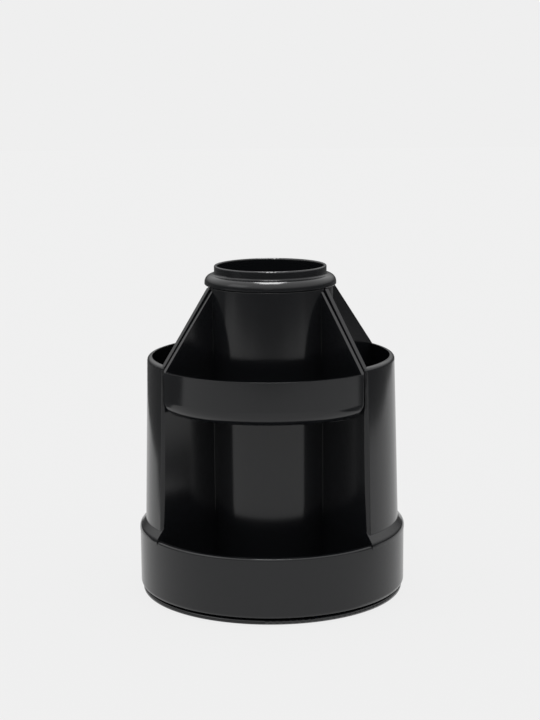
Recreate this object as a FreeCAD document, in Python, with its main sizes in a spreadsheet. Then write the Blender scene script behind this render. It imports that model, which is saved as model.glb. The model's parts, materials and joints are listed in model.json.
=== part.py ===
import FreeCAD, Part
import math
import os
from types import SimpleNamespace

import Sketcher

# Rotating desk organizer.  Millimetres, +Z up.  The front tray faces -Y, the middle tube stands on the Z axis
# and the feet stand on Z = 0.  Radii are measured from the Z axis.

Vector = FreeCAD.Vector
doc = FreeCAD.newDocument("rotating_desk_organizer")

# ---------------------------------------------------------------------------------------------------------------
# Driving dimensions
# ---------------------------------------------------------------------------------------------------------------

DRIVING_DIMENSIONS = (
    # middle tube, fins and pencil cup
    ("tube_radius", 24.6, "outside of the middle tube"),
    ("tube_wall", 1.9, "wall of the middle tube"),
    ("tube_top", 123.0, "height of the tube's upper end"),
    ("fin_wall", 1.6, "thickness of a fin"),
    ("fin_angle", 45.0, "direction of the fins from the front or rear axis"),
    ("fin_offset", 6.4, "window face of a fin from its radial line"),
    ("fin_head_width", 1.5, "level top of a fin beside the tube"),
    ("fin_head_drop", 0.2, "fin heads below the tube's upper end"),
    ("fin_tail_drop", 0.4, "fin tails below the pocket lip"),
    ("cup_gap", 0.2, "play of the pencil cup in the tube"),
    ("cup_wall", 1.6, "wall of the pencil cup"),
    ("cup_draft", 0.5, "how much narrower the cup is at its floor"),
    ("cup_clearance", 2.0, "height of the cup's underside above the screw bosses"),
    ("cup_floor", 2.0, "thickness of the cup's floor"),
    ("cup_corner", 2.0, "rounding at the cup's floor"),
    ("collar_overhang", 1.3, "how far the domed collar stands out from the tube"),
    ("collar_rise", 1.0, "height of the collar's widest line above the tube"),
    ("collar_dome", 3.0, "radius of the dome's curve"),
    ("collar_chamfer", 0.3, "set-in of the collar's underside"),
    ("lip_height", 7.5, "height of the lip above the tube, the top of the object"),
    ("lip_foot", 0.8, "hollow rounding between the lip and the dome"),
    ("lip_round", 0.5, "rounding of the lip"),
    # side pockets and their bead
    ("wall_draft", 1.65, "how much narrower a pocket wall is at its lip"),
    ("wall_thickness", 1.9, "thickness of a pocket wall"),
    ("wall_top", 95.0, "height of the pocket lip"),
    ("wall_lip_round", 1.5, "outer rounding of the pocket lip"),
    ("bead_overhang", 0.15, "how far the bead stands out from the pan"),
    ("bead_width", 2.5, "how far the bead stands out from the foot of a pocket wall"),
    ("bead_slope", 40.0, "steepness of the bead's flat shoulder, from upright"),
    ("bead_curve", 2.6, "rounding below the bead's shoulder"),
    ("bead_height", 0.8, "upright edge of the bead"),
    ("jamb_round", 1.2, "rounding of the pocket walls' upright edges"),
    # trays
    ("tray_gap", 0.6, "gap between a tray and the fin beside it"),
    ("tray_wall", 1.6, "wall of a tray"),
    ("tray_bow", 0.05, "how far a tray's front stands out from the pocket lip"),
    ("tray_back_gap", 0.1, "gap between a tray and the tube"),
    ("tray_back_wall", 1.2, "hollow back wall of a tray, along the tube"),
    ("tray_depth", 17.4, "height of a tray's front"),
    ("tray_front_drop", 2.2, "tray fronts below the pocket lip"),
    ("tray_side_drop", 1.4, "heads of a tray's side walls below the tube's upper end"),
    ("tray_head_gap", 0.2, "gap between a tray's back wall and the collar"),
    ("tray_corner", 1.0, "rounding of a tray's upright front corners"),
    ("tray_belly", 6.0, "outer rounding between a tray's walls and its floor"),
    ("shelf_start", 4.4, "start of a tray shelf, measured from the tube along its fin"),
    ("shelf_length", 11.0, "length of a tray shelf along its fin"),
    ("shelf_width", 9.4, "how far a tray shelf stands out from its fin"),
    ("shelf_thickness", 1.6, "thickness of a tray shelf"),
    # pan
    ("pan_radius", 52.85, "outside of the pan"),
    ("pan_wall", 1.9, "wall of the pan"),
    ("pan_rim", 26.5, "height of the sill in the windows"),
    ("pan_rim_round", 0.8, "rounding of the sill"),
    ("sill_rise", 1.3, "how far the sills stand up beside the bead's seat"),
    ("pan_clearance", 0.4, "running clearance of the pan above the base disc"),
    ("pan_foot_round", 1.8, "rounding of the pan's lowest edge"),
    ("pan_foot_ledge", 1.4, "width of the pan's lowest edge"),
    ("pan_floor_low", 6.4, "underside of the pan's floor"),
    ("pan_floor", 2.0, "thickness of the pan's floor"),
    ("pan_corner", 1.2, "rounding between the pan's floor and wall"),
    ("rim_play", 0.15, "play between the pan's raised sills and the pocket walls"),
    # base, bearing and pivot
    ("base_inset", 0.85, "base disc inside the outside of the pan"),
    ("base_low", 0.5, "underside of the base disc"),
    ("base_high", 2.4, "top of the base disc"),
    ("base_edge", 0.9, "rounding of the base disc's edge"),
    ("foot_radius", 5.0, "radius of a rubber foot"),
    ("foot_play", 0.1, "play of a foot in its recess"),
    ("foot_recess", 0.8, "depth of a foot's recess"),
    ("foot_inset", 9.0, "middle of a foot from the edge of the base disc"),
    ("post_radius", 5.0, "outside of the pivot post"),
    ("post_rise", 1.2, "height of the pivot post above the pan's floor"),
    ("hub_radius", 8.5, "outside of the pan's hub"),
    ("hub_play", 0.05, "running clearance of the hub on the post"),
    ("hub_drop", 1.0, "how far the hub reaches below the pan's floor"),
    ("hub_lift", 0.2, "axial play of the hub under the washer"),
    ("washer_radius", 8.0, "outside of the pivot washer"),
    ("washer_bore", 2.1, "bore radius of the pivot washer"),
    ("washer_thickness", 0.8, "thickness of the pivot washer"),
    ("pivot_radius", 1.95, "shank radius of the pivot screw"),
    ("pivot_head_radius", 3.7, "head radius of the pivot screw"),
    ("pivot_head_height", 2.4, "head height of the pivot screw"),
    ("pivot_tip", 1.6, "height of the pivot screw's tip"),
    ("bore_play", 0.05, "play of a screw in its bore"),
    ("ball_inset", 18.0, "circle of balls from the edge of the base disc"),
    ("ball_radius", 2.45, "radius of a ball"),
    ("ball_play", 0.05, "play of a ball in its races"),
    ("cage_width", 7.0, "width of the ball cage"),
    ("cage_thickness", 1.8, "thickness of the ball cage"),
    ("cage_play", 0.15, "play of a ball in the cage"),
    # screws between the pan and the upper body
    ("boss_radius", 3.5, "radius of a screw boss"),
    ("boss_bite", 0.4, "how far a screw boss runs into the tube's wall"),
    ("boss_height", 5.6, "height of a screw boss above the pan's floor"),
    ("screw_radius", 1.45, "shank radius of a body screw"),
    ("screw_head_radius", 3.0, "head radius of a body screw"),
    ("screw_head_height", 1.7, "head height of a body screw"),
    ("screw_length", 6.0, "shank length of a body screw"),
    ("screw_pass", 0.3, "play of a body screw in the pan's floor"),
)
BALL_COUNT = 12
FOOT_COUNT = 4
BODY_SCREW_COUNT = 4
SIDES = (1, -1)  # right and left of the front window


class Size:
    """A length or an angle that knows its number and the sheet expression that gives it."""

    def __init__(self, number, text=None):
        self.number = float(number)
        self.text = text or format(self.number, ".6g")

    def joined(self, other, sign, number):
        return Size(number, f"({self.text} {sign} {as_size(other).text})")

    def __add__(self, other):
        return self.joined(other, "+", self.number + as_size(other).number)

    def __sub__(self, other):
        return self.joined(other, "-", self.number - as_size(other).number)

    def __mul__(self, other):
        return self.joined(other, "*", self.number * as_size(other).number)

    def __truediv__(self, other):
        return self.joined(other, "/", self.number / as_size(other).number)

    def __neg__(self):
        return as_size(0) - self


def as_size(value):
    return value if isinstance(value, Size) else Size(value)


def root(size):
    return Size(math.sqrt(size.number), f"sqrt({size.text})")


def cosine(angle):
    return Size(math.cos(math.radians(angle.number)), f"cos({angle.text})")


def sine(angle):
    return Size(math.sin(math.radians(angle.number)), f"sin({angle.text})")


sheet = doc.addObject("Spreadsheet::Sheet", "Sizes")
for row, (name, number, note) in enumerate(DRIVING_DIMENSIONS, start=1):
    sheet.set(f"A{row}", name)
    sheet.set(f"B{row}", str(number))
    sheet.setAlias(f"B{row}", name)
    sheet.set(f"C{row}", note)
doc.recompute()
d = SimpleNamespace(**{name: Size(sheet.get(name), f"Sizes.{name}") for name, _, _ in DRIVING_DIMENSIONS})

# Radii that follow from the driving sizes, from the outside of the pan inwards.
bead_radius = d.pan_radius + d.bead_overhang
wall_foot_radius = bead_radius - d.bead_width
wall_foot_inside = wall_foot_radius - d.wall_thickness
wall_head_radius = wall_foot_radius - d.wall_draft
fin_tail_radius = wall_head_radius - d.wall_thickness / 2
tray_radius = wall_head_radius + d.tray_bow
base_radius = d.pan_radius - d.base_inset
foot_circle = base_radius - d.foot_inset
ball_circle = base_radius - d.ball_inset
race_radius = d.ball_radius + d.ball_play

# Radii round the tube, and offsets from a fin's radial line.
tube_bore = d.tube_radius - d.tube_wall
cup_radius = tube_bore - d.cup_gap
cup_bore = cup_radius - d.cup_wall
collar_radius = d.tube_radius + d.collar_overhang
lip_radius = collar_radius - d.collar_dome - d.lip_foot
fin_head_radius = d.tube_radius + d.fin_head_width
screw_circle = tube_bore - d.boss_radius + d.boss_bite
tray_back = d.tube_radius + d.tray_back_gap
fin_back = d.fin_offset + d.fin_wall
tray_side = d.fin_offset - d.tray_gap

# Heights, from the base disc upwards.
pan_bottom = d.base_high + d.pan_clearance
ball_height = (d.base_high + d.pan_floor_low) / 2
pan_floor_top = d.pan_floor_low + d.pan_floor
post_top = pan_floor_top + d.post_rise
boss_top = pan_floor_top + d.boss_height
cup_bottom = boss_top + d.cup_clearance
bead_bottom = d.pan_rim - d.sill_rise
tray_front_top = d.wall_top - d.tray_front_drop
tray_bottom = tray_front_top - d.tray_depth
lip_top = d.tube_top + d.lip_height

# Reaches of the cutting profiles, beyond everything else.
ABOVE_ALL = lip_top * 1.1
BEYOND_ALL = bead_radius * 1.2


# ---------------------------------------------------------------------------------------------------------------
# Helpers for sketches and features
# ---------------------------------------------------------------------------------------------------------------

def new_body(label):
    body = doc.addObject("PartDesign::Body", label)
    body.Label = label
    body.AllowCompound = True
    return body


def new_sketch(body, name, plane="XY_Plane", height=None):
    """An empty sketch on one of the body's own origin planes, lifted to a height where one is given."""
    sketch = body.newObject("Sketcher::SketchObject", f"{body.Label}_{name}")
    support = next(feature for feature in body.Origin.OriginFeatures if feature.Role == plane)
    sketch.AttachmentSupport = [(support, "")]
    sketch.MapMode = "FlatFace"
    if height is not None:
        sketch.setExpression(".AttachmentOffset.Base.z", height.text)
    return sketch


def stand_sketch(sketch, angle, offset):
    """Turn an upright sketch round the Z axis and move it along its normal."""
    sketch.AttachmentOffset = FreeCAD.Placement(Vector(0, 0, 0), FreeCAD.Rotation(Vector(0, 1, 0), 1))
    sketch.setExpression(".AttachmentOffset.Rotation.Angle", angle.text)
    sketch.setExpression(".AttachmentOffset.Base.x", (offset * sine(angle)).text)
    sketch.setExpression(".AttachmentOffset.Base.z", (offset * cosine(angle)).text)


def bind(sketch, kind, place, size):
    """Add a dimension and bind it to the sheet."""
    index = sketch.addConstraint(Sketcher.Constraint(kind, *place, size.number))
    sketch.setExpression(f"Constraints[{index}]", size.text)


def draw_segment(sketch, start, end, bend):
    """A line, or an arc where bend is a radius: anticlockwise if positive.  Returns its two end positions."""
    a = Vector(start[0].number, start[1].number, 0)
    b = Vector(end[0].number, end[1].number, 0)
    if bend is None:
        return sketch.addGeometry(Part.LineSegment(a, b), False), 1, 2
    radius = abs(bend.number)
    turn = math.copysign(1.0, bend.number)
    chord = b - a
    reach = math.sqrt(max(radius ** 2 - (chord.Length / 2) ** 2, 0.0))
    side = Vector(-chord.y, chord.x, 0).normalize() * turn
    centre = (a + b) * 0.5 + side * reach
    first, last = (a, b) if turn > 0 else (b, a)
    angles = [math.atan2(point.y - centre.y, point.x - centre.x) for point in (first, last)]
    arc = Part.ArcOfCircle(Part.Circle(centre, Vector(0, 0, 1), radius), *angles)
    index = sketch.addGeometry(arc, False)
    bind(sketch, "Radius", (index,), bend if turn > 0 else -bend)
    return (index, 1, 2) if turn > 0 else (index, 2, 1)


def outline(sketch, corners):
    """Draw a closed outline.  A corner is (x, y) or (x, y, bend), where bend shapes the way to the next corner."""
    corners = [[as_size(value) for value in corner] for corner in corners]
    drawn = []
    for number, corner in enumerate(corners):
        following = corners[(number + 1) % len(corners)]
        bend = corner[2] if len(corner) > 2 else None
        drawn.append(draw_segment(sketch, corner, following, bend))
    for number, (index, start, _) in enumerate(drawn):
        before, _, end = drawn[number - 1]
        sketch.addConstraint(Sketcher.Constraint("Coincident", before, end, index, start))
        bind(sketch, "DistanceX", (index, start), corners[number][0])
        bind(sketch, "DistanceY", (index, start), corners[number][1])


def draw_circle(sketch, x, y, radius):
    circle = Part.Circle(Vector(as_size(x).number, as_size(y).number, 0), Vector(0, 0, 1), radius.number)
    index = sketch.addGeometry(circle, False)
    bind(sketch, "Radius", (index,), radius)
    bind(sketch, "DistanceX", (index, 3), as_size(x))
    bind(sketch, "DistanceY", (index, 3), as_size(y))


def pad(body, sketch, height):
    feature = body.newObject("PartDesign::Pad", f"{sketch.Label}_pad")
    feature.Profile = sketch
    feature.setExpression("Length", height.text)
    return feature


def cut_up(body, sketch, height):
    """Pocket that removes what stands above the sketch, up to a height."""
    feature = body.newObject("PartDesign::Pocket", f"{sketch.Label}_cut")
    feature.Profile = sketch
    feature.Reversed = True
    feature.setExpression("Length", height.text)
    return feature


def turn_profile(body, sketch, kind):
    """Revolution or Groove of an upright profile round the Z axis."""
    feature = body.newObject(f"PartDesign::{kind}", f"{sketch.Label}_turned")
    feature.Profile = sketch
    feature.ReferenceAxis = (sketch, ["V_Axis"])
    feature.Angle = 360
    return feature


def repeat_round(body, features, count):
    """Repeat features evenly round the Z axis."""
    pattern = body.newObject("PartDesign::PolarPattern", f"{features[-1].Label}_round")
    pattern.Originals = features
    axis = next(item for item in body.Origin.OriginFeatures if item.Role == "Z_Axis")
    pattern.Axis = (axis, [""])
    pattern.Angle = 360
    pattern.Occurrences = count
    body.Tip = pattern
    return pattern


def round_edges(body, base, radius, wanted):
    """Fillet the edges of the base feature that the test wants."""
    doc.recompute()
    names = [f"Edge{number}" for number, edge in enumerate(base.Shape.Edges, start=1) if wanted(edge)]
    feature = body.newObject("PartDesign::Fillet", f"{base.Label}_rounded")
    feature.Base = (base, names)
    feature.setExpression("Radius", radius.text)
    return feature


def close_to(value, size, slack=0.02):
    return abs(value - as_size(size).number) < slack


def spans(edge, low, high):
    """True where the edge runs from one height to another; equal heights find a level edge."""
    return close_to(edge.BoundBox.ZMin, low) and close_to(edge.BoundBox.ZMax, high)


def middle_radius(edge):
    """Distance of the edge's middle from the Z axis."""
    middle = edge.valueAt((edge.FirstParameter + edge.LastParameter) / 2)
    return math.hypot(middle.x, middle.y)


def along_fin(distance, offset, side):
    """Plan point at a distance along a front fin's radial line and an offset away from the window's middle."""
    x = distance * sine(d.fin_angle) + offset * cosine(d.fin_angle)
    y = distance * cosine(d.fin_angle) - offset * sine(d.fin_angle)
    return (x * side, -y)


def reach_at(radius, offset):
    """Distance along a fin's radial line at which a line with this offset meets a radius."""
    return root(radius * radius - offset * offset)


# ---------------------------------------------------------------------------------------------------------------
# Base: disc with pivot post and ball race, feet, washer and screw
# ---------------------------------------------------------------------------------------------------------------

def make_base_disc():
    body = new_body("base_disc")
    profile = new_sketch(body, "profile", "XZ_Plane")
    outline(profile, [
        (0, d.base_low),
        (base_radius, d.base_low),
        (base_radius, d.base_high),
        (d.post_radius, d.base_high),
        (d.post_radius, post_top),
        (0, post_top),
    ])
    disc = turn_profile(body, profile, "Revolution")
    round_edges(body, disc, d.base_edge, lambda edge: close_to(middle_radius(edge), base_radius)
                and (spans(edge, d.base_low, d.base_low) or spans(edge, d.base_high, d.base_high)))
    race = new_sketch(body, "race", "XZ_Plane")
    draw_circle(race, ball_circle, ball_height, race_radius)
    turn_profile(body, race, "Groove")
    bore = new_sketch(body, "bore", height=d.pivot_tip - d.bore_play)
    draw_circle(bore, 0, 0, d.pivot_radius + d.bore_play)
    cut_up(body, bore, post_top)
    recess = new_sketch(body, "recess", height=d.base_low)
    draw_circle(recess, foot_circle * cosine(d.fin_angle), foot_circle * sine(d.fin_angle),
                d.foot_radius + d.foot_play)
    repeat_round(body, [cut_up(body, recess, d.foot_recess)], FOOT_COUNT)
    return body


def place_round(piece, circle, number, count, height, phase=None):
    """Bind a piece's place to a circle round the Z axis."""
    angle = (phase or as_size(0)) + 360.0 * number / count
    piece.setExpression("Placement.Base.x", (circle * cosine(angle)).text)
    piece.setExpression("Placement.Base.y", (circle * sine(angle)).text)
    piece.setExpression("Placement.Base.z", height.text)


def make_feet():
    feet = []
    for number in range(FOOT_COUNT):
        foot = doc.addObject("Part::Cylinder", f"foot_{number + 1}")
        foot.setExpression("Radius", d.foot_radius.text)
        foot.setExpression("Height", (d.base_low + d.foot_recess).text)
        place_round(foot, foot_circle, number, FOOT_COUNT, as_size(0), d.fin_angle)
        feet.append(foot)
    return feet


def make_pivot_washer():
    body = new_body("pivot_washer")
    ring = new_sketch(body, "ring", height=post_top)
    draw_circle(ring, 0, 0, d.washer_radius)
    draw_circle(ring, 0, 0, d.washer_bore)
    pad(body, ring, d.washer_thickness)
    return body


def make_pivot_screw():
    body = new_body("pivot_screw")
    seat = post_top + d.washer_thickness
    profile = new_sketch(body, "profile", "XZ_Plane")
    outline(profile, [
        (0, d.pivot_tip),
        (d.pivot_radius, d.pivot_tip),
        (d.pivot_radius, seat),
        (d.pivot_head_radius, seat),
        (d.pivot_head_radius, seat + d.pivot_head_height / 2),
        (0, seat + d.pivot_head_height),
    ])
    turn_profile(body, profile, "Revolution")
    return body


# ---------------------------------------------------------------------------------------------------------------
# Turntable bearing
# ---------------------------------------------------------------------------------------------------------------

def make_ball_cage():
    body = new_body("ball_cage")
    ring = new_sketch(body, "ring", height=ball_height - d.cage_thickness / 2)
    draw_circle(ring, 0, 0, ball_circle + d.cage_width / 2)
    draw_circle(ring, 0, 0, ball_circle - d.cage_width / 2)
    pad(body, ring, d.cage_thickness)
    hole = new_sketch(body, "hole", height=ball_height - d.cage_thickness)
    draw_circle(hole, ball_circle, 0, d.ball_radius + d.cage_play)
    repeat_round(body, [cut_up(body, hole, d.cage_thickness * 2)], BALL_COUNT)
    return body


def make_balls():
    balls = []
    for number in range(BALL_COUNT):
        ball = doc.addObject("Part::Sphere", f"ball_{number + 1:02d}")
        ball.setExpression("Radius", d.ball_radius.text)
        place_round(ball, ball_circle, number, BALL_COUNT, ball_height)
        balls.append(ball)
    return balls


# ---------------------------------------------------------------------------------------------------------------
# Lower pan
# ---------------------------------------------------------------------------------------------------------------

def make_lower_pan():
    body = new_body("lower_pan")
    inside = d.pan_radius - d.pan_wall
    ledge = d.pan_radius - d.pan_foot_round - d.pan_foot_ledge
    hub_low = d.pan_floor_low - d.hub_drop
    profile = new_sketch(body, "profile", "XZ_Plane")
    outline(profile, [
        (d.post_radius + d.hub_play, hub_low),
        (d.hub_radius, hub_low),
        (d.hub_radius, d.pan_floor_low),
        (ledge, d.pan_floor_low),
        (ledge, pan_bottom),
        (d.pan_radius - d.pan_foot_round, pan_bottom, d.pan_foot_round),
        (d.pan_radius, pan_bottom + d.pan_foot_round),
        (d.pan_radius, d.pan_rim - d.pan_rim_round, d.pan_rim_round),
        (d.pan_radius - d.pan_rim_round, d.pan_rim),
        (inside, d.pan_rim),
        (inside, pan_floor_top + d.pan_corner, -d.pan_corner),
        (inside - d.pan_corner, pan_floor_top),
        (d.hub_radius, pan_floor_top),
        (d.hub_radius, post_top - d.hub_lift),
        (d.post_radius + d.hub_play, post_top - d.hub_lift),
    ])
    turn_profile(body, profile, "Revolution")
    race = new_sketch(body, "race", "XZ_Plane")
    draw_circle(race, ball_circle, ball_height, race_radius)
    turn_profile(body, race, "Groove")
    hole = new_sketch(body, "screw_hole", height=d.pan_floor_low)
    draw_circle(hole, screw_circle, 0, d.screw_radius + d.screw_pass)
    repeat_round(body, [cut_up(body, hole, d.pan_floor)], BODY_SCREW_COUNT)
    # The rim is lower under the bead and stands up as a sill in each window.
    seat = new_sketch(body, "bead_seat", height=bead_bottom)
    offset = d.fin_offset - d.rim_play
    near = reach_at(d.pan_radius - d.pan_wall * 2, offset)
    far = reach_at(BEYOND_ALL, offset)
    start = along_fin(near, offset, 1)
    corner = along_fin(far, offset, 1)
    outline(seat, [
        start,
        corner,
        (BEYOND_ALL, corner[1]),
        (BEYOND_ALL, -corner[1]),
        (corner[0], -corner[1]),
        (start[0], -start[1], -(d.pan_radius - d.pan_wall * 2)),
    ])
    repeat_round(body, [cut_up(body, seat, d.pan_rim)], 2)
    return body


# ---------------------------------------------------------------------------------------------------------------
# Upper body: tube, fins, pocket walls with bead, tray shelves and screw bosses
# ---------------------------------------------------------------------------------------------------------------

def make_upper_body():
    body = new_body("upper_body")
    wall_low = pan_floor_top + d.pan_corner
    # Pocket walls with their bead and the skirt that stands inside the pan.
    skirt = d.pan_radius - d.pan_wall - d.rim_play
    bead_edge = bead_bottom + d.bead_height
    shoulder_radius = bead_radius - d.bead_curve * (as_size(1) - cosine(d.bead_slope))
    shoulder_height = bead_edge + d.bead_curve * sine(d.bead_slope)
    bead_head = shoulder_height + (shoulder_radius - wall_foot_radius) * cosine(d.bead_slope) / sine(d.bead_slope)
    walls = new_sketch(body, "walls", "XZ_Plane")
    outline(walls, [
        (wall_foot_inside, wall_low),
        (skirt, wall_low),
        (skirt, bead_bottom),
        (bead_radius, bead_bottom),
        (bead_radius, bead_edge, d.bead_curve),
        (shoulder_radius, shoulder_height),
        (wall_foot_radius, bead_head),
        (wall_head_radius, d.wall_top - d.wall_lip_round, d.wall_lip_round),
        (wall_head_radius - d.wall_lip_round, d.wall_top),
        (wall_head_radius - d.wall_thickness, d.wall_top),
    ])
    turn_profile(body, walls, "Revolution")
    # Windows for the trays and bins, front and rear.
    window = new_sketch(body, "window", height=pan_floor_top)
    inner = d.tube_radius + (fin_tail_radius - d.tube_radius) / 4
    near = along_fin(reach_at(inner, d.fin_offset), d.fin_offset, 1)
    far = along_fin(reach_at(BEYOND_ALL * 1.2, d.fin_offset), d.fin_offset, 1)
    outline(window, [
        near,
        far,
        (far[0], -BEYOND_ALL * 1.2),
        (-far[0], -BEYOND_ALL * 1.2),
        (-far[0], far[1]),
        (-near[0], near[1], inner),
    ])
    windows = repeat_round(body, [cut_up(body, window, ABOVE_ALL)], 2)
    round_edges(body, windows, d.jamb_round, lambda edge: spans(edge, bead_head, d.wall_top - d.wall_lip_round)
                and abs(edge.CenterOfMass.y) > d.fin_offset.number)
    # Middle tube.
    tube = new_sketch(body, "tube", height=pan_floor_top)
    draw_circle(tube, 0, 0, d.tube_radius)
    draw_circle(tube, 0, 0, tube_bore)
    pad(body, tube, d.tube_top - pan_floor_top)
    # Fins: flat plates from within the tube's wall to within the pocket walls, with a sloping top.
    start = reach_at(d.tube_radius - d.tube_wall / 2, fin_back)
    fin_head_height = d.tube_top - d.fin_head_drop
    fins = []
    for side in SIDES:
        fin = new_sketch(body, "fin_right" if side > 0 else "fin_left", "XZ_Plane")
        stand_sketch(fin, d.fin_angle * side - 90, d.fin_offset * -side)
        outline(fin, [
            (start, pan_floor_top),
            (reach_at(wall_foot_inside + d.wall_thickness / 6, d.fin_offset), pan_floor_top),
            (reach_at(fin_tail_radius, d.fin_offset), d.wall_top - d.fin_tail_drop),
            (reach_at(fin_head_radius, d.fin_offset), fin_head_height),
            (start, fin_head_height),
        ])
        plate = pad(body, fin, d.fin_wall)
        plate.Reversed = side > 0
        fins.append(plate)
    repeat_round(body, fins, 2)
    # Tabs on the fins that carry the trays.
    shelf = new_sketch(body, "tray_shelves", height=tray_bottom - d.shelf_thickness)
    shelf_start = d.tube_radius + d.shelf_start
    shelf_end = shelf_start + d.shelf_length
    taper = d.shelf_length / 5
    for side in SIDES:
        outline(shelf, [
            along_fin(shelf_start, d.fin_offset + d.fin_wall / 2, side),
            along_fin(shelf_end, d.fin_offset + d.fin_wall / 2, side),
            along_fin(shelf_end - taper, d.fin_offset - d.shelf_width, side),
            along_fin(shelf_start + taper, d.fin_offset - d.shelf_width, side),
        ])
    repeat_round(body, [pad(body, shelf, d.shelf_thickness)], 2)
    # Screw bosses inside the tube's foot.
    boss = new_sketch(body, "screw_boss", height=pan_floor_top)
    draw_circle(boss, screw_circle, 0, d.boss_radius)
    repeat_round(body, [pad(body, boss, boss_top - pan_floor_top)], BODY_SCREW_COUNT)
    bore = new_sketch(body, "screw_bore", height=pan_floor_top)
    draw_circle(bore, screw_circle, 0, d.screw_radius + d.bore_play)
    depth = (d.screw_length - d.pan_floor + boss_top - pan_floor_top) / 2
    repeat_round(body, [cut_up(body, bore, depth)], BODY_SCREW_COUNT)
    return body


def cut_sloping_top(body, name, radius, height, slope):
    """Cut a cone that starts at a radius and height and falls outwards."""
    sketch = new_sketch(body, name, "XZ_Plane")
    outline(sketch, [
        (radius, height),
        (BEYOND_ALL, height - slope * (BEYOND_ALL - radius)),
        (BEYOND_ALL, ABOVE_ALL),
        (radius, ABOVE_ALL),
    ])
    return turn_profile(body, sketch, "Groove")


# ---------------------------------------------------------------------------------------------------------------
# Loose inserts: trays and pencil cup
# ---------------------------------------------------------------------------------------------------------------

def tray_plan(offset, front, back):
    """Plan outline of the tray between two sides, a bowed front and a hollow back."""
    rear_corner = along_fin(reach_at(back, offset), offset, 1)
    front_corner = along_fin(reach_at(front, offset), offset, 1)
    return [
        rear_corner,
        (*front_corner, -front),
        (-front_corner[0], front_corner[1]),
        (-rear_corner[0], rear_corner[1], back),
    ]


def make_tray(label, turned):
    body = new_body(label)
    inside = tray_side - d.tray_wall
    back_face = tray_back + d.tray_back_wall
    floor = tray_bottom + d.tray_wall
    back_top = d.tube_top - d.tray_head_gap
    side_top = d.tube_top - d.tray_side_drop
    block = new_sketch(body, "block", height=tray_bottom)
    outline(block, tray_plan(tray_side, tray_radius, tray_back))
    solid = pad(body, block, back_top - tray_bottom)
    posts = round_edges(body, solid, d.tray_corner, lambda edge: spans(edge, tray_bottom, back_top)
                        and close_to(middle_radius(edge), tray_radius))
    hollow = new_sketch(body, "hollow", height=floor)
    outline(hollow, tray_plan(inside, tray_radius - d.tray_wall, back_face))
    well = cut_up(body, hollow, back_top)
    dished = round_edges(body, well, d.tray_belly - d.tray_wall, lambda edge: spans(edge, floor, floor))
    round_edges(body, dished, d.tray_belly, lambda edge: spans(edge, tray_bottom, tray_bottom))
    mouth = new_sketch(body, "mouth", height=tray_front_top)
    outline(mouth, tray_plan(inside, BEYOND_ALL, (tray_back + tray_radius) / 2))
    cut_up(body, mouth, back_top)
    slope = (side_top - tray_front_top) / (tray_radius - fin_head_radius)
    cut_sloping_top(body, "tops", back_face, side_top + slope * (fin_head_radius - back_face), slope)
    body.Placement.Rotation = FreeCAD.Rotation(Vector(0, 0, 1), turned)
    return body


def make_pencil_cup():
    body = new_body("pencil_cup")
    collar_edge = d.tube_top + d.collar_rise
    dome_head = collar_edge + d.collar_dome
    foot = cup_radius - d.cup_draft
    floor = cup_bottom + d.cup_floor
    corner = d.cup_corner * 0.75
    profile = new_sketch(body, "profile", "XZ_Plane")
    outline(profile, [
        (0, cup_bottom),
        (foot - d.cup_corner, cup_bottom, d.cup_corner),
        (foot, cup_bottom + d.cup_corner),
        (cup_radius, d.tube_top),
        (collar_radius - d.collar_chamfer, d.tube_top),
        (collar_radius, d.tube_top + d.collar_chamfer),
        (collar_radius, collar_edge, d.collar_dome),
        (lip_radius + d.lip_foot, dome_head, -d.lip_foot),
        (lip_radius, dome_head + d.lip_foot),
        (lip_radius, lip_top - d.lip_round, d.lip_round),
        (lip_radius - d.lip_round, lip_top),
        (cup_bore + d.lip_round, lip_top, d.lip_round),
        (cup_bore, lip_top - d.lip_round),
        (cup_bore - d.cup_draft, floor + corner, -corner),
        (cup_bore - d.cup_draft - corner, floor),
        (0, floor),
    ])
    turn_profile(body, profile, "Revolution")
    return body


def make_body_screws():
    screws = []
    for number in range(BODY_SCREW_COUNT):
        body = new_body(f"body_screw_{number + 1}")
        low = d.pan_floor_low - d.screw_head_height
        profile = new_sketch(body, "profile", "XZ_Plane")
        outline(profile, [
            (0, low),
            (d.screw_head_radius * 0.6, low),
            (d.screw_head_radius, low + d.screw_head_height / 2),
            (d.screw_head_radius, d.pan_floor_low),
            (d.screw_radius, d.pan_floor_low),
            (d.screw_radius, d.pan_floor_low + d.screw_length - d.screw_radius / 2),
            (d.screw_radius / 2, d.pan_floor_low + d.screw_length),
            (0, d.pan_floor_low + d.screw_length),
        ])
        turn_profile(body, profile, "Revolution")
        place_round(body, screw_circle, number, BODY_SCREW_COUNT, as_size(0))
        screws.append(body)
    return screws


PIECES = [
    make_base_disc(),
    *make_feet(),
    make_pivot_washer(),
    make_pivot_screw(),
    make_ball_cage(),
    *make_balls(),
    make_lower_pan(),
    make_upper_body(),
    make_tray("front_tray", 0),
    make_tray("rear_tray", 180),
    make_pencil_cup(),
    *make_body_screws(),
]
doc.recompute()
for item in doc.Objects:
    if {"Invalid", "Error"} & set(item.State):
        raise RuntimeError(f"{item.Label} failed: {item.State}")
os.makedirs("parts", exist_ok=True)
for piece in PIECES:
    if piece.Shape.isNull() or not piece.Shape.isValid():
        raise RuntimeError(f"{piece.Label} has no valid shape")
    print(piece.Label, round(piece.Shape.Volume, 1), len(piece.Shape.Solids), piece.Shape.BoundBox)
    piece.Shape.exportStep(f"parts/{piece.Label}.step")
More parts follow.
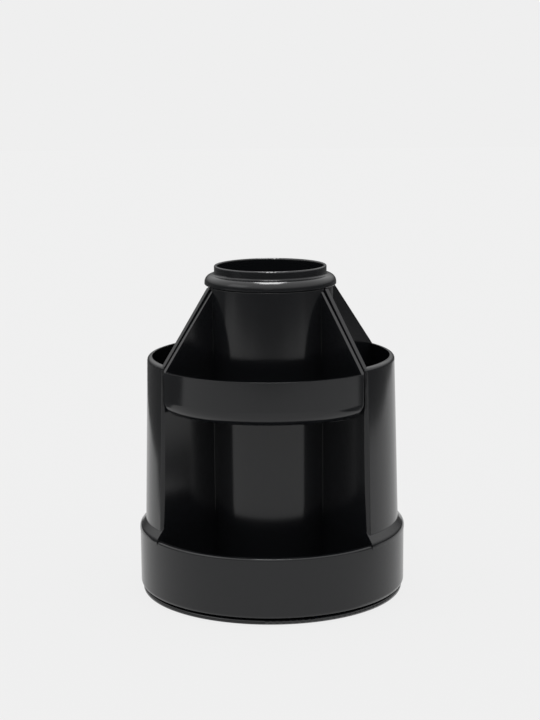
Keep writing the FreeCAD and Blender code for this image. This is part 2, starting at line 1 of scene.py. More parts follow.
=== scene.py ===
# %% [markdown]
# # A rotating desk organizer
#
# The real object is a small carousel of glossy black injection-moulded plastic. A round pan turns on a
# ball bearing above a flat base with rubber feet. A moulded body stands in the pan: a tube in the
# middle, four fins and two tall curved pocket walls. Two bowed trays hang between the fins, and a
# pencil cup with a domed collar drops into the tube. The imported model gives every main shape, so this
# lesson is about finish, light and small parts.

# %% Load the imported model
import json
import math

import bmesh
import bpy
from mathutils import Matrix, Vector


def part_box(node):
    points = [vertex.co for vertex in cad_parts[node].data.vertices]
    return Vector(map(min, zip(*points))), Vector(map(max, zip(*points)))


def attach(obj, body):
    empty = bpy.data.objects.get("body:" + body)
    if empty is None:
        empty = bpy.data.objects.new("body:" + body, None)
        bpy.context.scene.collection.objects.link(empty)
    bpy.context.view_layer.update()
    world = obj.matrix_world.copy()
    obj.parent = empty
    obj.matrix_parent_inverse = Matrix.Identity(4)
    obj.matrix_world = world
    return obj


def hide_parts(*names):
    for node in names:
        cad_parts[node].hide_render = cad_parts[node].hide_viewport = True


MM = 0.001
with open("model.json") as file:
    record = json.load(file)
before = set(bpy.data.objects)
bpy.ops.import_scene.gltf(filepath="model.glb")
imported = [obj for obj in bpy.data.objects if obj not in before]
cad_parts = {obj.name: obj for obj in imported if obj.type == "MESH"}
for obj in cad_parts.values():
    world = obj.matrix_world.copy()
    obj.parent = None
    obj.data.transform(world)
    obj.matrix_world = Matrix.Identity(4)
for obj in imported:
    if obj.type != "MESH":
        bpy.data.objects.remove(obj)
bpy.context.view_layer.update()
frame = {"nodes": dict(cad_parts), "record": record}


def plain_box(bounds):
    """The two corners of a box as plain lists of metres."""
    return [[float(value) for value in corner] for corner in bounds]


# %% [markdown]
# ## Colours
#
# A colour picked on a screen is an sRGB value, while a shader works with linear light. One function
# turns the hex values that a designer writes into linear numbers, so no colour is converted by hand.

# %% Colours from hex
OPAQUE = 1.0


def srgb(hex_code):
    """Linear RGBA from an sRGB hex code such as #202124."""
    channels = [int(hex_code[start:start + 2], 16) / 255 for start in (1, 3, 5)]
    linear = [value / 12.92 if value <= 0.04045 else ((value + 0.055) / 1.055) ** 2.4
              for value in channels]
    return (*linear, OPAQUE)


print("the screen grey #808080 is", round(srgb("#808080")[0], 3), "in linear light")

# %% [markdown]
# ## Building shaders
#
# A material is a small tree of nodes. It could be linked by hand in the editor, but a script can be
# read and rerun. The helper below adds one node with its settings and its links, so each material
# reads as a short list of what it is made of.

# %% One helper for nodes
def add_node(tree, kind, settings=None, **inputs):
    """Add a node. settings are its properties; inputs are socket values, or sockets to link from."""
    node = tree.nodes.new(kind)
    for name, value in (settings or {}).items():
        setattr(node, name, value)
    for name, value in inputs.items():
        socket = node.inputs[name.replace("_", " ")]
        if isinstance(value, bpy.types.NodeSocket):
            tree.links.new(value, socket)
        else:
            socket.default_value = value
    return node


# %% A material to start from
def empty_tree(owner):
    """The node tree of a material or a world, with nothing in it."""
    owner.use_nodes = True
    owner.node_tree.nodes.clear()
    return owner.node_tree


def new_material(name, base, ior=None, metallic=0.0):
    """A material with a Principled shader. A metal gives no ior, so that it keeps the default."""
    material = bpy.data.materials.new(name)
    tree = empty_tree(material)
    output = add_node(tree, "ShaderNodeOutputMaterial")
    shader = add_node(tree, "ShaderNodeBsdfPrincipled", Base_Color=base, Metallic=metallic)
    if ior:
        shader.inputs["IOR"].default_value = ior
    tree.links.new(shader.outputs["BSDF"], output.inputs["Surface"])
    print("made", name)
    return material, tree, shader


# %% [markdown]
# ## Black ABS, gloss-moulded
#
# The body, pan, trays, cup and base are black ABS from polished steel moulds. The eye sees almost no
# diffuse colour: what shows is the room mirrored at about four percent, and far more where the wall
# turns away. The plastic shrinks as it cools, so the mirror is never quite flat: reflections wander a
# little over a centimetre or two. A large soft noise bends the normals by that much, and a Bevel node
# rounds the sharp edges the way a mould's own edges are rounded.

# %% The ABS material
ABS_BLACK = srgb("#131416")
ABS_IOR = 1.5
ABS_ROUGHNESS = 0.15
SINK_SPACING = 14 * MM
SINK_DEPTH = 0.010 * MM
EDGE_ROUNDING = 0.25 * MM
EDGE_SAMPLES = 6


def make_gloss_abs():
    material, tree, shader = new_material("gloss_black_abs", ABS_BLACK, ior=ABS_IOR)
    shader.inputs["Roughness"].default_value = ABS_ROUGHNESS
    place = add_node(tree, "ShaderNodeTexCoord").outputs["Object"]
    wander = add_node(tree, "ShaderNodeTexNoise", Vector=place, Scale=1 / SINK_SPACING,
                      Detail=1.0, Roughness=0.4)
    edges = add_node(tree, "ShaderNodeBevel", {"samples": EDGE_SAMPLES}, Radius=EDGE_ROUNDING)
    sink = add_node(tree, "ShaderNodeBump", Strength=1.0, Distance=SINK_DEPTH,
                    Height=wander.outputs["Fac"], Normal=edges.outputs["Normal"])
    tree.links.new(sink.outputs["Normal"], shader.inputs["Normal"])
    return material


gloss_abs = make_gloss_abs()

# %% [markdown]
# ## Moulded rubber
#
# The feet are black thermoplastic rubber. Their mould is spark-eroded, which leaves a fine pebbled
# skin, so the rubber looks matt with a dull sheen, and a pale bloom comes to its surface in patches.
# The grain is about a tenth of a millimetre on the real part. It is drawn three times as coarse,
# because a finer one would not show. Rounded Voronoi cells are closer to pebbles than noise is.

# %% The rubber material
RUBBER_BLACK = srgb("#161617")
RUBBER_BLOOMED = srgb("#232324")
RUBBER_IOR = 1.52
RUBBER_ROUGHNESS = (0.58, 0.74)
RUBBER_GRAIN = 0.3 * MM
RUBBER_DEPTH = 0.02 * MM
RUBBER_BLOOM = 4 * MM


def make_foot_rubber():
    material, tree, shader = new_material("moulded_rubber", RUBBER_BLACK, ior=RUBBER_IOR)
    place = add_node(tree, "ShaderNodeTexCoord").outputs["Object"]
    grain = add_node(tree, "ShaderNodeTexVoronoi", Vector=place, Scale=1 / RUBBER_GRAIN)
    pebbles = add_node(tree, "ShaderNodeBump", Strength=1.0, Distance=RUBBER_DEPTH,
                       Height=grain.outputs["Distance"])
    tree.links.new(pebbles.outputs["Normal"], shader.inputs["Normal"])
    bloom = add_node(tree, "ShaderNodeTexNoise", Vector=place, Scale=1 / RUBBER_BLOOM, Detail=2.0)
    colour = add_node(tree, "ShaderNodeMix", {"data_type": "RGBA"}, Factor=bloom.outputs["Fac"])
    colour.inputs["A"].default_value = RUBBER_BLACK
    colour.inputs["B"].default_value = RUBBER_BLOOMED
    tree.links.new(colour.outputs["Result"], shader.inputs["Base Color"])
    dullness = add_node(tree, "ShaderNodeMapRange", Value=bloom.outputs["Fac"],
                        To_Min=RUBBER_ROUGHNESS[0], To_Max=RUBBER_ROUGHNESS[1])
    tree.links.new(dullness.outputs["Result"], shader.inputs["Roughness"])
    return material


foot_rubber = make_foot_rubber()

# %% [markdown]
# ## Natural acetal
#
# The ball cage is stamped from unpigmented acetal, a waxy off-white plastic that light enters a little
# way. The stamped sheet has faint milky clouds a few millimetres across, and the same clouds make its
# shine uneven. One noise therefore drives both the colour and the roughness.

# %% The acetal material
ACETAL_DULL = srgb("#ded9ca")
ACETAL_MILKY = srgb("#ebe7db")
ACETAL_IOR = 1.48
ACETAL_ROUGHNESS = (0.34, 0.46)
ACETAL_TRANSLUCENCY = 0.25
ACETAL_DEPTH = 0.6 * MM
ACETAL_CLOUD = 3 * MM


def make_acetal():
    material, tree, shader = new_material("natural_acetal", ACETAL_DULL, ior=ACETAL_IOR)
    shader.inputs["Subsurface Weight"].default_value = ACETAL_TRANSLUCENCY
    shader.inputs["Subsurface Scale"].default_value = ACETAL_DEPTH
    place = add_node(tree, "ShaderNodeTexCoord").outputs["Object"]
    clouds = add_node(tree, "ShaderNodeTexNoise", Vector=place, Scale=1 / ACETAL_CLOUD, Detail=3.0)
    colour = add_node(tree, "ShaderNodeMix", {"data_type": "RGBA"}, Factor=clouds.outputs["Fac"])
    colour.inputs["A"].default_value = ACETAL_DULL
    colour.inputs["B"].default_value = ACETAL_MILKY
    tree.links.new(colour.outputs["Result"], shader.inputs["Base Color"])
    dullness = add_node(tree, "ShaderNodeMapRange", Value=clouds.outputs["Fac"],
                        To_Min=ACETAL_ROUGHNESS[0], To_Max=ACETAL_ROUGHNESS[1])
    tree.links.new(dullness.outputs["Result"], shader.inputs["Roughness"])
    return material


acetal = make_acetal()

# %% [markdown]
# ## Bearing steel
#
# The balls are lapped until they mirror: only fine lapping marks dull them here and there. A metal has
# no diffuse colour, so the marks are drawn in the roughness alone.

# %% The ball steel
STEEL_COLOUR = srgb("#cfd0d2")
STEEL_ROUGHNESS = (0.05, 0.14)
LAPPING_MARK = 0.4 * MM


def make_ball_steel():
    material, tree, shader = new_material("lapped_bearing_steel", STEEL_COLOUR, metallic=1.0)
    place = add_node(tree, "ShaderNodeTexCoord").outputs["Object"]
    marks = add_node(tree, "ShaderNodeTexNoise", Vector=place, Scale=1 / LAPPING_MARK,
                     Detail=4.0, Distortion=1.5)
    dullness = add_node(tree, "ShaderNodeMapRange", Value=marks.outputs["Fac"],
                        To_Min=STEEL_ROUGHNESS[0], To_Max=STEEL_ROUGHNESS[1])
    tree.links.new(dullness.outputs["Result"], shader.inputs["Roughness"])
    return material


ball_steel = make_ball_steel()

# %% [markdown]
# ## Zinc plate
#
# The screws and the washer are stamped or rolled steel with a thin zinc plate. Dull and bright patches
# a couple of millimetres across come from the plating bath, and a slight grain from the steel below.

# %% The zinc plate
ZINC_COLOUR = srgb("#c3c4c6")
ZINC_ROUGHNESS = (0.22, 0.42)
ZINC_PATCH = 2.5 * MM
ZINC_GRAIN = 0.25 * MM
ZINC_DEPTH = 0.004 * MM


def make_zinc_plate():
    material, tree, shader = new_material("zinc_plated_steel", ZINC_COLOUR, metallic=1.0)
    place = add_node(tree, "ShaderNodeTexCoord").outputs["Object"]
    patches = add_node(tree, "ShaderNodeTexNoise", Vector=place, Scale=1 / ZINC_PATCH, Detail=3.0)
    dullness = add_node(tree, "ShaderNodeMapRange", Value=patches.outputs["Fac"],
                        To_Min=ZINC_ROUGHNESS[0], To_Max=ZINC_ROUGHNESS[1])
    tree.links.new(dullness.outputs["Result"], shader.inputs["Roughness"])
    grain = add_node(tree, "ShaderNodeTexNoise", Vector=place, Scale=1 / ZINC_GRAIN, Detail=2.0)
    rough = add_node(tree, "ShaderNodeBump", Strength=1.0, Distance=ZINC_DEPTH,
                     Height=grain.outputs["Fac"])
    tree.links.new(rough.outputs["Normal"], shader.inputs["Normal"])
    return material


zinc_plate = make_zinc_plate()

# %% [markdown]
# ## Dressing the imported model
#
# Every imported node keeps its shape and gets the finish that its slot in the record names. Going by the
# slot, and not by the node, gives all twelve balls one steel and all the mouldings one plastic.

# %% Dress the nodes
FINISHES = {
    "black_plastic": gloss_abs,
    "foot_rubber": foot_rubber,
    "cage_plastic": acetal,
    "ball_steel": ball_steel,
    "screw_steel": zinc_plate,
}
slots = {part["node"]: part["material_slot"] for part in frame["record"]["subparts"]}
for node, obj in frame["nodes"].items():
    for slot in obj.material_slots:
        slot.material = FINISHES[slots[node]]
print("dressed", len(slots), "nodes")

# %% [markdown]
# ## Turned parts
#
# Feet and screws are round about their own axis, so each starts as a profile that is turned, as on a
# lathe. A Screw modifier could do it too, but a few lines of mesh code keep the poles closed. The
# profile runs from the axis at the bottom, up the outside, and back to the axis, which closes the mesh
# and points its faces outwards. What each turned part stands for is measured first, so that the part
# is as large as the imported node, and stands where the node stands.

# %% Measure a round node
def measure_round(node):
    """A round node's radius, its distance from the middle, and its bottom and top, in millimetres."""
    low, high = plain_box(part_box(node))
    radius = round((high[0] - low[0]) / 2 / MM, 1)
    circle = round(math.hypot(low[0] + high[0], low[1] + high[1]) / 2 / MM, 1)
    bottom, top = round(low[2] / MM, 1), round(high[2] / MM, 1)
    print(f"{node}: radius {radius}, {circle} from the middle, height {bottom} to {top} mm")
    return radius, circle, bottom, top


# %% A lathe
LATHE_STEPS = 48


def turn_profile(name, profile):
    """A closed object turned about Z from (radius, height) points in millimetres."""
    lathe = bmesh.new()
    rings = []
    for radius, height in profile:
        steps = LATHE_STEPS if radius else 1
        angles = [2 * math.pi * step / LATHE_STEPS for step in range(steps)]
        points = [Vector((radius * math.cos(a), radius * math.sin(a), height)) for a in angles]
        rings.append([lathe.verts.new(point * MM) for point in points])
    for low, high in zip(rings, rings[1:]):
        for step in range(LATHE_STEPS):
            after = (step + 1) % LATHE_STEPS
            corners = [low[step % len(low)], low[after % len(low)],
                       high[after % len(high)], high[step % len(high)]]
            lathe.faces.new(list(dict.fromkeys(corners)))
    mesh = bpy.data.meshes.new(name)
    lathe.to_mesh(mesh)
    lathe.free()
    piece = bpy.data.objects.new(name, mesh)
    bpy.context.scene.collection.objects.link(piece)
    print("turned", name, "from", len(profile), "points")
    return piece


# %% [markdown]
# ## Geometry Nodes, from tree to plain mesh
#
# What repeats, or follows a path, is made by a tree of geometry nodes. A tree starts with named inputs
# for its sizes and ends in real geometry that wears its finish, because instances do not leave
# Blender. Once its values are set, the result becomes the piece's own mesh and the tree is taken off.

# %% Start and end a tree
def new_geometry_tree(name, sizes):
    """A tree with a mesh in, a mesh out, a finish and one named input for each size."""
    tree = bpy.data.node_groups.new(name, "GeometryNodeTree")
    tree.interface.new_socket(name="Geometry", in_out="INPUT", socket_type="NodeSocketGeometry")
    tree.interface.new_socket(name="Finish", in_out="INPUT", socket_type="NodeSocketMaterial")
    for size, kind in sizes.items():
        tree.interface.new_socket(name=size, in_out="INPUT", socket_type=kind)
    tree.interface.new_socket(name="Geometry", in_out="OUTPUT", socket_type="NodeSocketGeometry")
    print("made the tree", name, "with the sizes", list(sizes))
    return tree, add_node(tree, "NodeGroupInput").outputs, add_node(tree, "NodeGroupOutput").inputs


def finish_tree(tree, geometry, finish, way_out):
    """End a tree in real geometry that wears its finish."""
    real = add_node(tree, "GeometryNodeRealizeInstances", Geometry=geometry)
    dressed = add_node(tree, "GeometryNodeSetMaterial", Geometry=real.outputs["Geometry"],
                       Material=finish)
    tree.links.new(dressed.outputs["Geometry"], way_out["Geometry"])


# %% Put a tree on a piece, and make the piece plain
SHARP_ANGLE = math.radians(35)


def put_tree(piece, tree, values):
    """Add a tree to a piece and set its named inputs through their identifiers."""
    modifier = piece.modifiers.new(tree.name, "NODES")
    modifier.node_group = tree
    for item in tree.interface.items_tree:
        if item.in_out == "INPUT" and item.name in values:
            modifier[item.identifier] = values[item.name]


def make_plain(piece):
    """Turn what the trees make into the piece's own mesh, smooth except at its sharp edges."""
    evaluated = piece.evaluated_get(bpy.context.evaluated_depsgraph_get())
    mesh = bpy.data.meshes.new_from_object(evaluated)
    piece.modifiers.clear()
    piece.data = mesh
    mesh.shade_smooth()
    mesh.set_sharp_from_angle(angle=SHARP_ANGLE)
    print(piece.name, "has", len(mesh.polygons), "faces")


# %% [markdown]
# ## One tree for a ring of copies
#
# The object has four feet and four body screws, each set evenly on a circle. Copies could be placed in
# a loop, but a tree with the count, the circle and the first angle as its inputs says the rule itself
# and stays easy to change. A mesh circle gives the places, and the copies are set on its points.

# %% The ring tree
def make_ring_tree():
    sizes = {"Count": "NodeSocketInt", "Circle Radius": "NodeSocketFloat",
             "First Angle": "NodeSocketFloat"}
    tree, given, way_out = new_geometry_tree("ring_of_copies", sizes)
    circle = add_node(tree, "GeometryNodeMeshCircle", Vertices=given["Count"],
                      Radius=given["Circle Radius"])
    angle = add_node(tree, "ShaderNodeCombineXYZ", Z=given["First Angle"])
    turned = add_node(tree, "GeometryNodeTransform", Geometry=circle.outputs["Mesh"],
                      Rotation=angle.outputs["Vector"])
    copies = add_node(tree, "GeometryNodeInstanceOnPoints", Points=turned.outputs["Geometry"],
                      Instance=given["Geometry"])
    finish_tree(tree, copies.outputs["Instances"], given["Finish"], way_out)
    return tree


ring_tree = make_ring_tree()

# %% [markdown]
# ## Rubber feet
#
# A foot is a button of rubber pressed into a recess of the base. Its sole has concentric ridges that
# grip the desk. The ridges are part of the profile, so the lathe makes them, and the ring tree sets
# the four feet.

# %% The foot's profile
foot_radius, foot_circle, foot_bottom, foot_top = measure_round("foot_1")
RIDGE_START = 0.8
RIDGE_PITCH = 1.4
RIDGE_COUNT = 3
GROOVE_WIDTH = 0.8
GROOVE_DEPTH = 0.2
GROOVE_FLANK = 0.15
SOLE_EDGE = 0.25


def foot_profile():
    """From the middle of the sole, over its grooves, up the side and back to the axis."""
    profile = [(0, foot_bottom)]
    for ridge in range(RIDGE_COUNT):
        start = RIDGE_START + ridge * RIDGE_PITCH
        end = start + GROOVE_WIDTH
        profile += [(start, foot_bottom), (start + GROOVE_FLANK, foot_bottom + GROOVE_DEPTH),
                    (end - GROOVE_FLANK, foot_bottom + GROOVE_DEPTH), (end, foot_bottom)]
    profile += [(foot_radius - SOLE_EDGE, foot_bottom), (foot_radius, foot_bottom + SOLE_EDGE),
                (foot_radius, foot_top), (0, foot_top)]
    return profile


feet = turn_profile("rubber_feet", foot_profile())

# %% The four feet
FOOT_COUNT = 4
FIRST_FOOT = math.radians(45)

put_tree(feet, ring_tree, {"Finish": foot_rubber, "Count": FOOT_COUNT,
                           "Circle Radius": foot_circle * MM, "First Angle": FIRST_FOOT})
make_plain(feet)
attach(feet, "base")
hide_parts("foot_1", "foot_2", "foot_3", "foot_4")

# %% [markdown]
# ## Threads and recesses
#
# Four self-tapping screws hold the pan to the upper body, and one machine screw holds the pivot
# washer. A second tree winds the thread round the shank and cuts the cross recess into the head. A
# thread could be modelled turn by turn, but a spiral curve that carries a three-cornered section is
# how a rolled thread looks from outside, and its pitch stays one number.

# %% The two halves of the thread tree
THREAD_STEPS = 24
THREAD_CORNERS = 3
THREAD_REACH = 0.35


def wind_thread(tree, given):
    """A spiral up the shank, with a section whose radius is a share of the pitch."""
    turns = add_node(tree, "ShaderNodeMath", {"operation": "DIVIDE"})
    tree.links.new(given["Thread Length"], turns.inputs[0])
    tree.links.new(given["Pitch"], turns.inputs[1])
    spiral = add_node(tree, "GeometryNodeCurveSpiral", Resolution=THREAD_STEPS,
                      Rotations=turns.outputs["Value"], Start_Radius=given["Thread Radius"],
                      End_Radius=given["Thread Radius"], Height=given["Thread Length"])
    lift = add_node(tree, "ShaderNodeCombineXYZ", Z=given["Thread Start"])
    placed = add_node(tree, "GeometryNodeTransform", Geometry=spiral.outputs["Curve"],
                      Translation=lift.outputs["Vector"])
    reach = add_node(tree, "ShaderNodeMath", {"operation": "MULTIPLY"})
    tree.links.new(given["Pitch"], reach.inputs[0])
    reach.inputs[1].default_value = THREAD_REACH
    section = add_node(tree, "GeometryNodeCurvePrimitiveCircle", Resolution=THREAD_CORNERS,
                       Radius=reach.outputs["Value"])
    return add_node(tree, "GeometryNodeCurveToMesh", Curve=placed.outputs["Geometry"],
                    Profile_Curve=section.outputs["Curve"], Fill_Caps=True).outputs["Mesh"]


def cut_recess(tree, given):
    """The turned screw, with a cross of two bars cut out of its head."""
    size = add_node(tree, "ShaderNodeCombineXYZ", X=given["Recess Span"], Y=given["Recess Width"],
                    Z=given["Recess Depth"])
    bar = add_node(tree, "GeometryNodeMeshCube", Size=size.outputs["Vector"])
    height = add_node(tree, "ShaderNodeCombineXYZ", Z=given["Recess Height"])
    along = add_node(tree, "GeometryNodeTransform", Geometry=bar.outputs["Mesh"],
                     Translation=height.outputs["Vector"])
    across = add_node(tree, "GeometryNodeTransform", Geometry=along.outputs["Geometry"],
                      Rotation=(0, 0, math.radians(90)))
    cut = add_node(tree, "GeometryNodeMeshBoolean", {"operation": "DIFFERENCE"})
    tree.links.new(given["Geometry"], cut.inputs["Mesh 1"])
    tree.links.new(along.outputs["Geometry"], cut.inputs["Mesh 2"])
    tree.links.new(across.outputs["Geometry"], cut.inputs["Mesh 2"])
    return cut.outputs["Mesh"]


# %% The thread tree
SCREW_SIZES = ("Pitch", "Thread Radius", "Thread Length", "Thread Start",
               "Recess Height", "Recess Span", "Recess Width", "Recess Depth")


def in_metres(sizes):
    """Named sizes in millimetres as the metres that a tree wants."""
    return {name: size * MM for name, size in sizes.items()}


def make_thread_tree():
    sizes = {size: "NodeSocketFloat" for size in SCREW_SIZES}
    tree, given, way_out = new_geometry_tree("thread_and_recess", sizes)
    both = add_node(tree, "GeometryNodeJoinGeometry")
    for part in (cut_recess(tree, given), wind_thread(tree, given)):
        tree.links.new(part, both.inputs["Geometry"])
    finish_tree(tree, both.outputs["Geometry"], given["Finish"], way_out)
    return tree


thread_tree = make_thread_tree()

# %% [markdown]
# ## Body screws
#
# The body screws go in from below, so their domed heads are at the bottom of the profile and their
# points at the top. The lathe turns one, the thread tree finishes it, and the ring tree sets all four.

# %% The body screw's profile
head_radius, screw_circle, screw_bottom, screw_top = measure_round("body_screw_1")
SCREW_HEAD_HEIGHT = 1.7
SCREW_CORE_RADIUS = 1.15
SCREW_TIP_RADIUS = 0.7
SCREW_TIP_LENGTH = 0.7
# The dome's points: how far inside the head's radius, and how far above its bottom.
SCREW_DOME = [(1.2, 0), (0.5, 0.25), (0.1, 0.65), (0, 1.1)]


def body_screw_profile():
    """From the middle of the head, round its dome, and up the core to the point."""
    head_top = screw_bottom + SCREW_HEAD_HEIGHT
    dome = [(head_radius - inside, screw_bottom + above) for inside, above in SCREW_DOME]
    return [(0, screw_bottom), *dome, (head_radius, head_top), (SCREW_CORE_RADIUS, head_top),
            (SCREW_CORE_RADIUS, screw_top - SCREW_TIP_LENGTH), (SCREW_TIP_RADIUS, screw_top),
            (0, screw_top)]


body_screws = turn_profile("body_screws", body_screw_profile())

# %% The four body screws
SCREW_COUNT = 4
SCREW_THREAD = {"Pitch": 0.9, "Thread Radius": SCREW_CORE_RADIUS, "Thread Length": 4.2,
                "Thread Start": screw_bottom + 2.6}
SCREW_RECESS = {"Recess Height": screw_bottom + 0.3, "Recess Span": 3.2, "Recess Width": 0.7,
                "Recess Depth": 1.5}

put_tree(body_screws, thread_tree, {"Finish": zinc_plate, **in_metres(SCREW_THREAD | SCREW_RECESS)})
put_tree(body_screws, ring_tree, {"Finish": zinc_plate, "Count": SCREW_COUNT,
                                  "Circle Radius": screw_circle * MM, "First Angle": 0.0})
make_plain(body_screws)
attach(body_screws, "organizer")
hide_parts("body_screw_1", "body_screw_2", "body_screw_3", "body_screw_4")

# %% [markdown]
# ## Pivot screw
#
# The machine screw goes down into the post of the base and holds the washer, so its domed head is at
# the top. It stands on the axis and needs no ring.

# %% The pivot screw's profile
pivot_head_radius, _, pivot_bottom, pivot_top = measure_round("pivot_screw")
PIVOT_HEAD_HEIGHT = 2.4
PIVOT_NECK_RADIUS = 1.95
PIVOT_NECK_LENGTH = 0.4
PIVOT_NECK_SLOPE = 0.2
PIVOT_CORE_RADIUS = 1.7
PIVOT_TIP = 0.4
# The dome's points: how far inside the head's radius, and how far below its top.
PIVOT_DOME = [(0, 1.3), (0.3, 0.6), (1.1, 0.15), (2.1, 0)]


def pivot_profile():
    """From the middle of the tip, up the core and the neck, and round the dome of the head."""
    head_bottom = pivot_top - PIVOT_HEAD_HEIGHT
    neck_bottom = head_bottom - PIVOT_NECK_LENGTH
    dome = [(pivot_head_radius - inside, pivot_top - below) for inside, below in PIVOT_DOME]
    return [(0, pivot_bottom), (PIVOT_CORE_RADIUS - PIVOT_TIP, pivot_bottom),
            (PIVOT_CORE_RADIUS, pivot_bottom + PIVOT_TIP),
            (PIVOT_CORE_RADIUS, neck_bottom - PIVOT_NECK_SLOPE), (PIVOT_NECK_RADIUS, neck_bottom),
            (PIVOT_NECK_RADIUS, head_bottom), (pivot_head_radius, head_bottom), *dome,
            (0, pivot_top)]


pivot_screw = turn_profile("pivot_machine_screw", pivot_profile())

# %% The pivot screw
PIVOT_THREAD = {"Pitch": 0.7, "Thread Radius": PIVOT_CORE_RADIUS, "Thread Length": 7.2,
                "Thread Start": pivot_bottom + 0.6}
PIVOT_RECESS = {"Recess Height": pivot_top - 0.5, "Recess Span": 4.2, "Recess Width": 0.9,
                "Recess Depth": 2.2}

put_tree(pivot_screw, thread_tree, {"Finish": zinc_plate, **in_metres(PIVOT_THREAD | PIVOT_RECESS)})
make_plain(pivot_screw)
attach(pivot_screw, "base")
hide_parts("pivot_screw")

# %% [markdown]
# ## Camera
#
# The organizer stands about two thirds of a metre from the lens and is seen from a little above, with
# its front turned slightly to the left. The long lens keeps the pan's ellipse shallow. The camera is
# turned round the object's own axis first, then moved back, so the turn and the distance stay apart.

# %% The camera
CAMERA_DISTANCE = 671.2 * MM
CAMERA_HEIGHT = 214.9 * MM
CAMERA_TURN = math.radians(5.5)
CAMERA_PITCH = math.radians(10.337)
CAMERA_ROLL = math.radians(-0.411)
CAMERA_LENS_MM = 86.1
CAMERA_SENSOR_MM = 36
CAMERA_NEAREST = 10 * MM
CAMERA_SHIFT = -0.00125

heading = Matrix.Rotation(CAMERA_TURN, 4, "Z")


def make_camera():
    data = bpy.data.cameras.new("studio_camera")
    data.lens = CAMERA_LENS_MM
    data.sensor_width = CAMERA_SENSOR_MM
    data.clip_start = CAMERA_NEAREST
    data.shift_x = CAMERA_SHIFT
    camera = bpy.data.objects.new("studio_camera", data)
    bpy.context.scene.collection.objects.link(camera)
    tilt = Matrix.Rotation(math.radians(90) - CAMERA_PITCH, 4, "X")
    roll = Matrix.Rotation(CAMERA_ROLL, 4, "Z")
    place = heading @ Vector((0, -CAMERA_DISTANCE, CAMERA_HEIGHT))
    camera.matrix_world = Matrix.Translation(place) @ heading @ tilt @ roll
    bpy.context.scene.camera = camera
    print("the camera stands at", [round(value, 3) for value in place])


make_camera()

# %% [markdown]
# ## Floor
#
# The object stands on a pale sweep. The camera sees it as one even tone that still takes the object's
# shadow. A white floor that is only lit would have to be lit too brightly, and would grey the black
# plastic, so the floor glows a little for the camera and stays a matt surface for all other light.

# %% A surface with a glow of its own
PALE = srgb("#efefef")
SWEEP_SHADE = srgb("#3a3a3a")


def make_lit_surface(name, glow_strength):
    """A matt surface that glows at a plain level and keeps the shadow that falls on it."""
    material = bpy.data.materials.new(name)
    tree = empty_tree(material)
    output = add_node(tree, "ShaderNodeOutputMaterial")
    shade = add_node(tree, "ShaderNodeBsdfDiffuse", Color=SWEEP_SHADE)
    glow = add_node(tree, "ShaderNodeEmission", Color=PALE, Strength=glow_strength)
    seen = add_node(tree, "ShaderNodeAddShader")
    tree.links.new(shade.outputs["BSDF"], seen.inputs[0])
    tree.links.new(glow.outputs["Emission"], seen.inputs[1])
    matt = add_node(tree, "ShaderNodeBsdfDiffuse", Color=PALE)
    rays = add_node(tree, "ShaderNodeLightPath")
    mirrored = add_node(tree, "ShaderNodeMath", {"operation": "MAXIMUM"})
    tree.links.new(rays.outputs["Is Camera Ray"], mirrored.inputs[0])
    tree.links.new(rays.outputs["Is Glossy Ray"], mirrored.inputs[1])
    mix = add_node(tree, "ShaderNodeMixShader", Fac=mirrored.outputs["Value"])
    tree.links.new(matt.outputs["BSDF"], mix.inputs[1])
    tree.links.new(seen.outputs["Shader"], mix.inputs[2])
    tree.links.new(mix.outputs["Shader"], output.inputs["Surface"])
    return material


# %% The sweep that the camera sees
SWEEP_GLOW = 0.952
SWEEP_REACH = 3000


def make_plane(name, corners, material):
    """A flat stage piece on the floor. Corners are in millimetres, to the camera's right and back."""
    mesh = bpy.data.meshes.new(name)
    places = [tuple(heading @ Vector((right, back, 0)) * MM) for right, back in corners]
    mesh.from_pydata(places, [], [range(len(corners))])
    mesh.materials.append(material)
    plane = bpy.data.objects.new(name, mesh)
    bpy.context.scene.collection.objects.link(plane)
    print("laid", name, "with", len(corners), "corners")
    return plane


sweep = make_plane("sweep", [(-SWEEP_REACH, -SWEEP_REACH), (SWEEP_REACH, -SWEEP_REACH),
                             (SWEEP_REACH, SWEEP_REACH), (-SWEEP_REACH, SWEEP_REACH)],
                   make_lit_surface("pale_sweep", SWEEP_GLOW))
sweep.visible_glossy = False

# %% [markdown]
# ## Table
#
# Black gloss plastic is drawn by what it mirrors, so the surroundings are planned for the mirror. The
# upright walls mirror the table top in front of them and beside them. A table without an end would
# make them one flat grey. This one has an edge, with a notch on each side, and where a wall mirrors
# the dim room past the edge it turns black. Only the mirror sees the table: the camera, the other
# light and the shadows pass through it.

# %% The table that the plastic mirrors
TABLE_GLOW = 0.84
TABLE_FRONT = [(-780, -330), (-300, -540), (300, -540), (600, -400)]
RIGHT_NOTCH = [(620, -60), (340, -40), (190, -110), (135, -60), (135, -10), (190, -16), (400, 42)]
TABLE_BACK = [(380, 330), (250, 520), (-100, 520), (-230, 250)]
LEFT_NOTCH = [(-250, 145), (-168, 62), (-168, 38), (-300, 38), (-430, -40), (-780, -80)]

table = make_plane("table", TABLE_FRONT + RIGHT_NOTCH + TABLE_BACK + LEFT_NOTCH,
                   make_lit_surface("white_table", TABLE_GLOW))
table.visible_camera = False
table.visible_diffuse = False
table.visible_shadow = False

# %% [markdown]
# ## Room
#
# The room is dim near the floor and bright at the ceiling, as a studio with white ceiling cloth is. A
# ramp over the height of each direction paints it, which is softer than six walls with lamps would be.
# The camera itself sees the plain pale backdrop in place of the room.

# %% The room
ROOM_LEVELS = [(0.08, 0.12), (0.45, 1.0), (0.90, 1.35)]


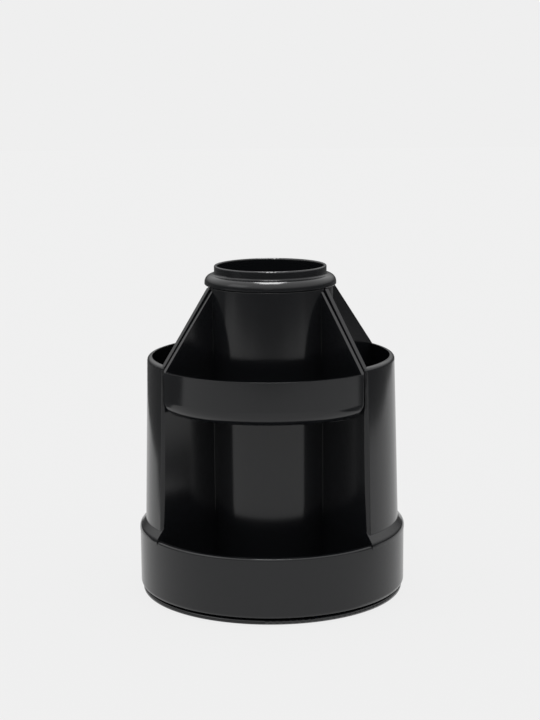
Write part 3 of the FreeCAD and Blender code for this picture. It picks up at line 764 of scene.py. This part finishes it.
def make_room():
    world = bpy.data.worlds.new("room")
    bpy.context.scene.world = world
    tree = empty_tree(world)
    output = add_node(tree, "ShaderNodeOutputWorld")
    rays = add_node(tree, "ShaderNodeLightPath")
    way = add_node(tree, "ShaderNodeTexCoord").outputs["Generated"]
    height = add_node(tree, "ShaderNodeSeparateXYZ", Vector=way)
    ramp = add_node(tree, "ShaderNodeValToRGB", Fac=height.outputs["Z"])
    ramp.color_ramp.elements[0].position = ROOM_LEVELS[0][0]
    ramp.color_ramp.elements[1].position = ROOM_LEVELS[-1][0]
    for position, _ in ROOM_LEVELS[1:-1]:
        ramp.color_ramp.elements.new(position)
    for element, (_, level) in zip(ramp.color_ramp.elements, ROOM_LEVELS):
        element.color = (level, level, level, OPAQUE)
    room = add_node(tree, "ShaderNodeBackground", Color=ramp.outputs["Color"], Strength=1.0)
    backdrop = add_node(tree, "ShaderNodeBackground", Color=PALE, Strength=1.0)
    mix = add_node(tree, "ShaderNodeMixShader", Fac=rays.outputs["Is Camera Ray"])
    tree.links.new(room.outputs["Background"], mix.inputs[1])
    tree.links.new(backdrop.outputs["Background"], mix.inputs[2])
    tree.links.new(mix.outputs["Shader"], output.inputs["Surface"])
    print("painted the room at", len(ROOM_LEVELS), "heights")


make_room()

# %% [markdown]
# ## Softboxes
#
# One bright softbox almost straight above puts the narrow highlight on the domed collar. A large faint
# one at the left lifts that side a little. Plastic and metal mirror both, and neither lights the floor.

# %% The softboxes
LAMP_TARGET = Vector((0, 0, 0.12))


def make_softbox(name, azimuth, elevation, distance, width, height, radiance):
    """A rectangular lamp, sizes in metres, that faces the object. Azimuth 0 is the front, 90 the right."""
    lamp = bpy.data.lights.new(name, "AREA")
    lamp.shape = "RECTANGLE"
    lamp.size = width
    lamp.size_y = height
    lamp.energy = radiance * math.pi * width * height
    softbox = bpy.data.objects.new(name, lamp)
    bpy.context.scene.collection.objects.link(softbox)
    around = Matrix.Rotation(math.radians(azimuth), 4, "Z")
    up = Matrix.Rotation(math.radians(90 - elevation), 4, "X")
    back = Matrix.Translation((0, 0, distance))
    softbox.matrix_world = Matrix.Translation(LAMP_TARGET) @ around @ up @ back
    softbox.visible_camera = False
    softbox.visible_diffuse = False
    print("hung", name, "with", round(lamp.energy, 2), "watts")


make_softbox("ceiling_softbox", azimuth=5.5, elevation=102, distance=1.1, width=0.34, height=0.72,
             radiance=11.5)
make_softbox("left_softbox", azimuth=-60, elevation=35, distance=1.2, width=0.70, height=0.60,
             radiance=0.8)

# %% [markdown]
# ## Standard view
#
# The Standard view shows each colour about as it is written.

# %% Standard view and finish
bpy.context.scene.view_settings.view_transform = "Standard"
